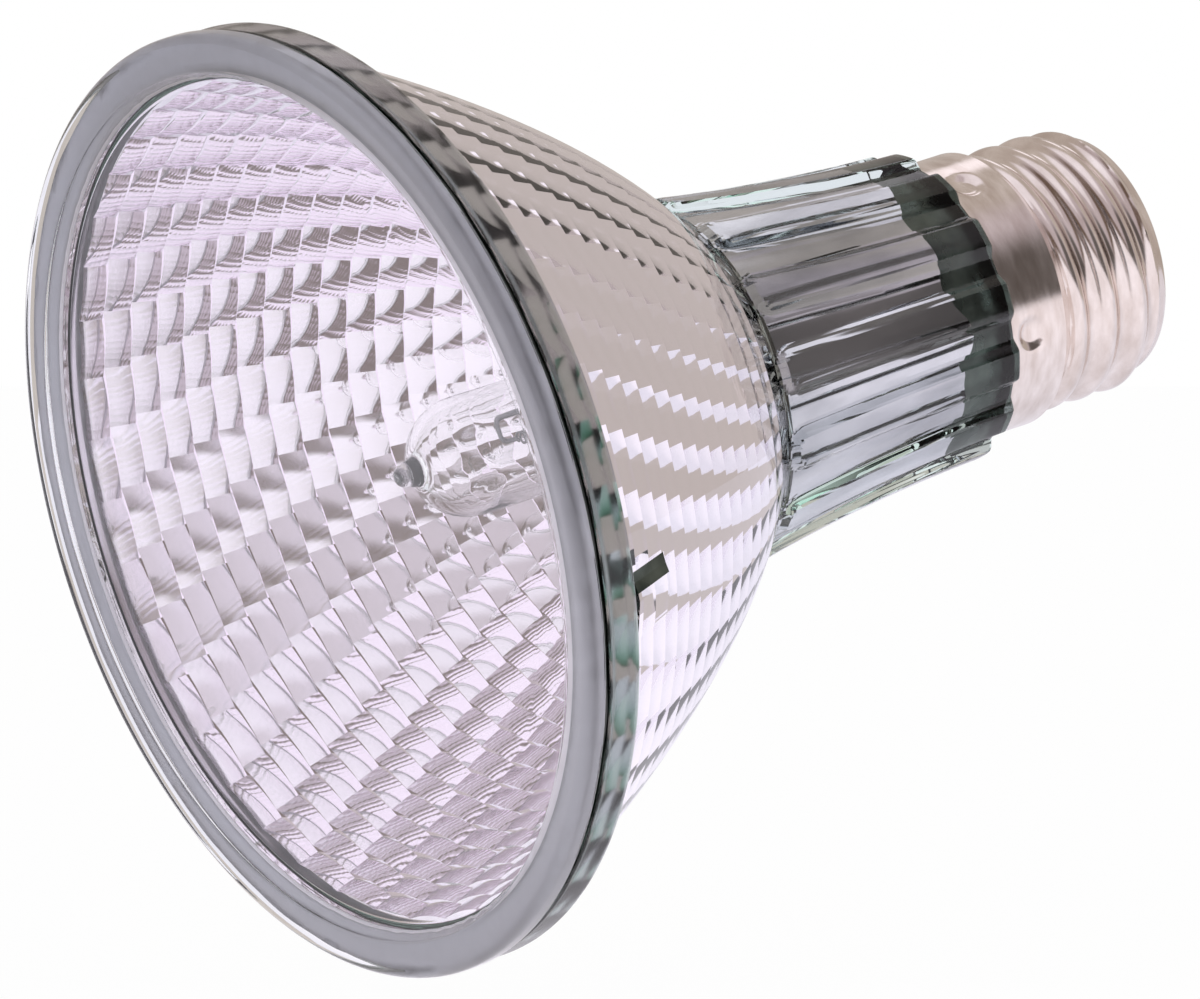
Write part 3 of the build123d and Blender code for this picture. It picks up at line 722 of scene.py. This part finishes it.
def makeCapsule(s):
    top, pinchTop, pinchBottom = levels["capsuleTop"], levels["pinchTop"], levels["pinchBottom"]
    r, q = s["radius"], s["radius"] - s["wall"]
    # pinch, then a blend to the tube, then the dome and the drawn-off tip
    zp = np.linspace(pinchBottom, pinchTop + s["blendEnd"], s["pinchRows"])
    g = smoothStep((zp - (pinchTop - s["blendDrop"])) / s["blendLength"])
    edge = 1 - s["edgeBite"] * np.exp(-(zp - pinchBottom) / s["edgeFade"])
    wide = (s["pinchWidth"] / 2 * (1 - g) + r * g) * edge
    thick = (s["pinchThick"] / 2 * (1 - g) + r * g) * edge
    pinch = ovalRings(wide, thick, s["pinchPower"] * (1 - g) + s["tubePower"] * g, zp, s["columns"])
    dome = np.radians(np.linspace(0, s["domeEnd"], s["domeRows"]))
    tipR, tipZ = s["tip"] * s["tipTaper"], top + s["tipHeight"] - s["tipRound"]
    tube = np.concatenate([
        run((r, pinchTop + s["tubeStart"]), (r, top - r), 5),
        np.stack([r * np.cos(dome), top - r + r * np.sin(dome)], axis=1),
        run((s["tip"] + s["tipFlare"], top - s["tipSink"]), (tipR, tipZ), 4),
        bend((0, tipZ), tipR, 0, s["tipEnd"], 6),
    ])
    outer = np.concatenate([pinch, turnOutline(tube, s["columns"])])
    # drawn quartz is not quite round: the tube narrows by slow waves that wind round it both ways
    t, z = ringAngles(s["columns"])[None], outer[:, :1, 2]
    swell = wander(t + z * s["twist"], s["twistWaves"], s["twistSeed"])
    swell = swell + wander(t * 2 - z * s["counter"], s["counterWaves"], s["counterSeed"])
    outer[len(pinch) :, :, :2] *= (1 - s["swell"] * np.abs(swell[len(pinch) :]))[:, :, None]
    inDome = np.radians(np.linspace(s["gasStop"], 0, s["domeRows"]))
    gas = np.concatenate([
        np.stack([q * np.cos(inDome), top - s["wall"] - q + q * np.sin(inDome)], axis=1),
        run((q, top - r - s["gasGap"]), (q, pinchTop + s["gasEnd"]), 5),
        bend((q - s["gasRound"], pinchTop + s["gasRoundAt"]), s["gasRound"], 0, -s["gasStop"], 6),
    ])
    inner = turnOutline(gas, s["columns"])
    makePiece("capsuleBulb", [
        dict(points=outer, start=(0, 0, pinchBottom), end=(0, 0, top + s["tipHeight"])),
        dict(points=inner, start=(0, 0, top - s["wall"]), end=(0, 0, pinchTop + s["gasFoot"])),
    ], s["sharp"], [finish["quartz"]], "capsule_bulb")


makeCapsule(capsuleSpec)

# filament
filamentSpec = dict(
    bottom=57.507, length=14.0, coil=0.74, wire=0.13, turns=26, perTurn=20, sides=6, runIn=6.0, endGap=0.1,
    sharp=60,
)


# coil: x = c cos(w), y = c sin(w), z rising evenly, as a thin tube
def makeFilament(s):
    w = np.linspace(0, 2 * np.pi * s["turns"], s["turns"] * s["perTurn"] + 1)
    reach = np.clip(np.minimum(w, w[-1] - w) / s["runIn"], 0, 1)  # ends run in to the legs
    z = s["bottom"] + s["endGap"] + (s["length"] - 2 * s["endGap"]) * w / w[-1]
    path = np.stack([s["coil"] * reach * np.cos(w), s["coil"] * reach * np.sin(w), z], axis=1)
    tip = (0, 0, s["endGap"])
    grid = dict(points=tubeGrid(path, s["wire"], s["sides"])[:, ::-1], start=path[0] - tip, end=path[-1] + tip)
    makePiece("filamentCoil", [grid], s["sharp"], [finish["tungsten"]], "filament")


makeFilament(filamentSpec)

# small inner parts stay as the frame has them, with their own finishes
innerFinish = dict(
    inner_lead_left="tungsten", inner_lead_right="tungsten", foil_left="foil", foil_right="foil",
    outer_lead_left="leadWire", outer_lead_right="leadWire", shell_wire="leadWire", contact_wire="leadWire",
    capsule_clip="springSteel",
)


def dressNodes(spec):
    for node, name in spec.items():
        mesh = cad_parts[node].data
        mesh.materials.clear()
        mesh.materials.append(finish[name])
    print("dressed:", len(spec), "inner parts")


dressNodes(innerFinish)

# floor and light, in metres
studioSpec = dict(
    floorTilt=10.0,  # degrees that the camera looks down on the floor
    floorGap=0.002, floorBack=0.35, floorFront=0.8, floorSide=0.9, floorGlow=0.98, floorPaint=(0.93, 0.92, 0.93),
    floorFade=(-0.1, 0.03),  # from paleBack to pale, ahead of the lamp's foot
    white=(1, 1, 1), pale=(1.14, 1.085, 1.16), paleBack=(0.9, 0.88, 0.97), taupe=(0.56, 0.5, 0.46),
    room=(0.61, 0.54, 0.575), dusk=(0.165, 0.115, 0.09), corner=(0.13, 0.115, 0.11), softBox=(0.98, 0.93, 1.0),
    key=(1.3, 1.23, 1.3), keyPlace=(-0.014, 0.783, -0.62),
    # soft edges of the world's fields, from none to full, along the picture's axes
    roomDepth=(-0.05, 0.2), duskDepth=(0.0, 0.2), duskHeight=(0.26, 0.08), duskLean=0.3,
    cornerAcross=(0.4, 0.6), cornerDepth=(0.1, 0.3), cornerHeight=(0.85, 0.5),
    boxHeight=(0.58, 0.7), boxDepth=(-0.2, 0.0), boxAcross=(0.3, 0.1), keyEdge=(0.983, 0.993),
    backHeight=(-0.13, -0.24), paleDepth=(0.0, 0.3), paleHeight=(-0.01, -0.1),
)


# a pale floor under the lamp as it lies in the picture, seen from its upper side only
def makeFloor(s):
    tilt = math.radians(s["floorTilt"])
    normal = up * math.cos(tilt) + toCamera * math.sin(tilt)
    ahead = toCamera * math.cos(tilt) - up * math.sin(tilt)
    lens = np.array([0, 0, levels["front"] * mm])
    reach = reflectorSpec["flange"] * mm * math.hypot(normal[0], normal[1])
    foot = lens - normal * (reach + s["floorGap"])
    corners = [foot + right * x * s["floorSide"] + ahead * y for x, y in (
        (-1, -s["floorBack"]), (-1, s["floorFront"]), (1, s["floorFront"]), (1, -s["floorBack"]))]
    mesh = bpy.data.meshes.new("studioFloor")
    mesh.from_pydata([tuple(c) for c in corners], [], [(0, 1, 2, 3)])
    mat = bpy.data.materials.new("studioFloor")
    tree = emptyTree(mat)
    add, link = nodeMaker(tree), tree.links.new
    out = add("ShaderNodeOutputMaterial")
    paint = add("ShaderNodeBsdfDiffuse")
    paint.inputs["Color"].default_value = (*s["floorPaint"], 1)
    glow = add("ShaderNodeEmission")
    rays = add("ShaderNodeLightPath")
    # mirrored, the floor is brighter on the camera's side
    coord = add("ShaderNodeTexCoord")
    lean = add("ShaderNodeVectorMath", operation="DOT_PRODUCT")
    lean.inputs[1].default_value = tuple(float(x) for x in ahead)
    slope = add("ShaderNodeMapRange", interpolation_type="SMOOTHSTEP")
    slope.inputs["From Min"].default_value = float(foot @ ahead) + s["floorFade"][0]
    slope.inputs["From Max"].default_value = float(foot @ ahead) + s["floorFade"][1]
    pale = add("ShaderNodeMix", data_type="RGBA")
    pale.inputs["A"].default_value = (*s["paleBack"], 1)
    pale.inputs["B"].default_value = (*s["pale"], 1)
    tint = add("ShaderNodeMix", data_type="RGBA")
    tint.inputs["B"].default_value = (*s["white"], 1)
    # it glows to camera, mirrored and refracted rays, and is paint to all others
    seen = add("ShaderNodeMath", operation="MAXIMUM")
    seenToo = add("ShaderNodeMath", operation="MAXIMUM")
    share = add("ShaderNodeMath", operation="MULTIPLY")
    share.inputs[1].default_value = s["floorGlow"]
    mixed = add("ShaderNodeMixShader")
    side = add("ShaderNodeNewGeometry")
    through = add("ShaderNodeBsdfTransparent")
    oneSided = add("ShaderNodeMixShader")
    link(coord.outputs["Object"], lean.inputs[0])
    link(lean.outputs["Value"], slope.inputs["Value"])
    link(slope.outputs["Result"], pale.inputs["Factor"])
    link(pale.outputs["Result"], tint.inputs["A"])
    link(rays.outputs["Is Camera Ray"], tint.inputs["Factor"])
    link(tint.outputs["Result"], glow.inputs["Color"])
    link(rays.outputs["Is Camera Ray"], seen.inputs[0])
    link(rays.outputs["Is Glossy Ray"], seen.inputs[1])
    link(seen.outputs[0], seenToo.inputs[0])
    link(rays.outputs["Is Transmission Ray"], seenToo.inputs[1])
    link(seenToo.outputs[0], share.inputs[0])
    link(share.outputs[0], mixed.inputs["Fac"])
    link(paint.outputs[0], mixed.inputs[1])
    link(glow.outputs[0], mixed.inputs[2])
    link(side.outputs["Backfacing"], oneSided.inputs["Fac"])
    link(mixed.outputs[0], oneSided.inputs[1])
    link(through.outputs[0], oneSided.inputs[2])
    link(oneSided.outputs[0], out.inputs["Surface"])
    mesh.materials.append(mat)
    floor = bpy.data.objects.new("studioFloor", mesh)
    bpy.context.scene.collection.objects.link(floor)


# world: pale below the picture, warm grey behind it with a key light high up, a lilac room on the camera's side
# with a dark strip at the horizon and a dark corner to the right, and a soft box overhead
def makeWorld(s):
    world = bpy.data.worlds.new("studio")
    bpy.context.scene.world = world
    tree = emptyTree(world)
    add, link = nodeMaker(tree), tree.links.new
    out = add("ShaderNodeOutputWorld")
    coord = add("ShaderNodeTexCoord")

    def along(axis):
        n = add("ShaderNodeVectorMath", operation="DOT_PRODUCT")
        n.inputs[1].default_value = tuple(float(x) for x in axis)
        link(coord.outputs["Generated"], n.inputs[0])
        return n.outputs["Value"]

    def step(value, name):  # soft step from 0 at the first edge to 1 at the second
        n = add("ShaderNodeMapRange", interpolation_type="SMOOTHSTEP")
        n.inputs["From Min"].default_value, n.inputs["From Max"].default_value = s[name]
        link(value, n.inputs["Value"])
        return n.outputs["Result"]

    def over(base, name, mask, *moreMasks):  # lays a colour over what is there by the product of masks
        for more in moreMasks:
            product = add("ShaderNodeMath", operation="MULTIPLY")
            link(mask, product.inputs[0])
            link(more, product.inputs[1])
            mask = product.outputs[0]
        n = add("ShaderNodeMix", data_type="RGBA")
        if isinstance(base, tuple):
            n.inputs["A"].default_value = (*base, 1)
        else:
            link(base, n.inputs["A"])
        n.inputs["B"].default_value = (*s[name], 1)
        link(mask, n.inputs["Factor"])
        return n.outputs["Result"]

    height, depth, across = along(up), along(toCamera), along(right)
    leaning = along(up + s["duskLean"] * right)
    keyAt = along(sum(k * axis for k, axis in zip(s["keyPlace"], (right, up, toCamera))))
    sky = over(s["taupe"], "room", step(depth, "roomDepth"))
    sky = over(sky, "dusk", step(depth, "duskDepth"), step(leaning, "duskHeight"))
    sky = over(sky, "corner", step(across, "cornerAcross"), step(depth, "cornerDepth"),
               step(height, "cornerHeight"))
    sky = over(sky, "softBox", step(height, "boxHeight"), step(depth, "boxDepth"), step(across, "boxAcross"))
    sky = over(sky, "key", step(keyAt, "keyEdge"))
    sky = over(sky, "paleBack", step(height, "backHeight"))
    sky = over(sky, "pale", step(depth, "paleDepth"), step(height, "paleHeight"))
    studio = add("ShaderNodeBackground")
    plain = add("ShaderNodeBackground")  # what the camera itself sees
    plain.inputs["Color"].default_value = (*s["white"], 1)
    rays = add("ShaderNodeLightPath")
    mixed = add("ShaderNodeMixShader")
    link(sky, studio.inputs["Color"])
    link(rays.outputs["Is Camera Ray"], mixed.inputs["Fac"])
    link(studio.outputs[0], mixed.inputs[1])
    link(plain.outputs[0], mixed.inputs[2])
    link(mixed.outputs[0], out.inputs["Surface"])


makeFloor(studioSpec)
makeWorld(studioSpec)
bpy.context.scene.view_settings.view_transform = "Standard"
print("studio set")
